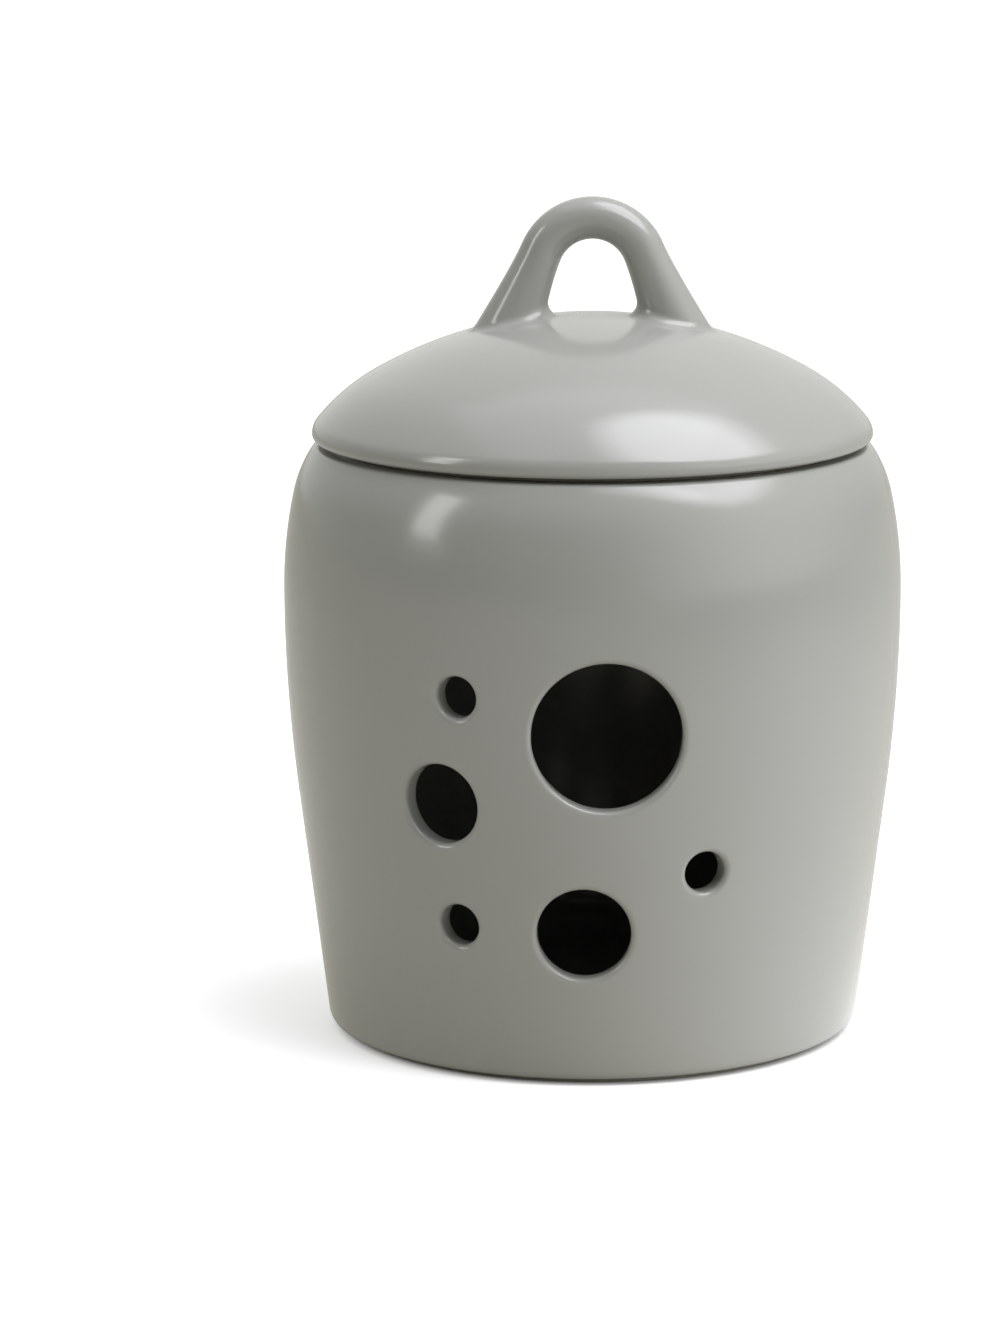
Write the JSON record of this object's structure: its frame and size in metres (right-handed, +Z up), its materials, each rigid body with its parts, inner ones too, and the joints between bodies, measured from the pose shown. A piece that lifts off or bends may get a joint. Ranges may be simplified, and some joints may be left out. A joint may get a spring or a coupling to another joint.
{
  "type": "garlic keeper",
  "caption": "Vented ceramic garlic keeper: a tapered, round-shouldered jar with round air holes in front and a loose domed lid with a loop handle.",
  "frame": {"origin": "centre of the foot ring's resting face, on the jar's axis", "axes": "+Z up along the jar's axis, -Y to the front where the vents are, +X to the right seen from the front"},
  "size_m": [0.122, 0.122, 0.1653],
  "materials": {
    "jar_glaze": "satin",
    "lid_glaze": "satin",
    "handle_glaze": "satin"
  },
  "bodies": {
    "jar": {"jar": "jar_glaze"},
    "lid": {"lid": "lid_glaze", "lid_handle": "handle_glaze"}
  },
  "joints": [
    {"name": "lid_lift", "type": "slide", "parent": "jar", "child": "lid", "axis": [0, 0, 1], "range_m": [0, 0.12]}
  ]
}
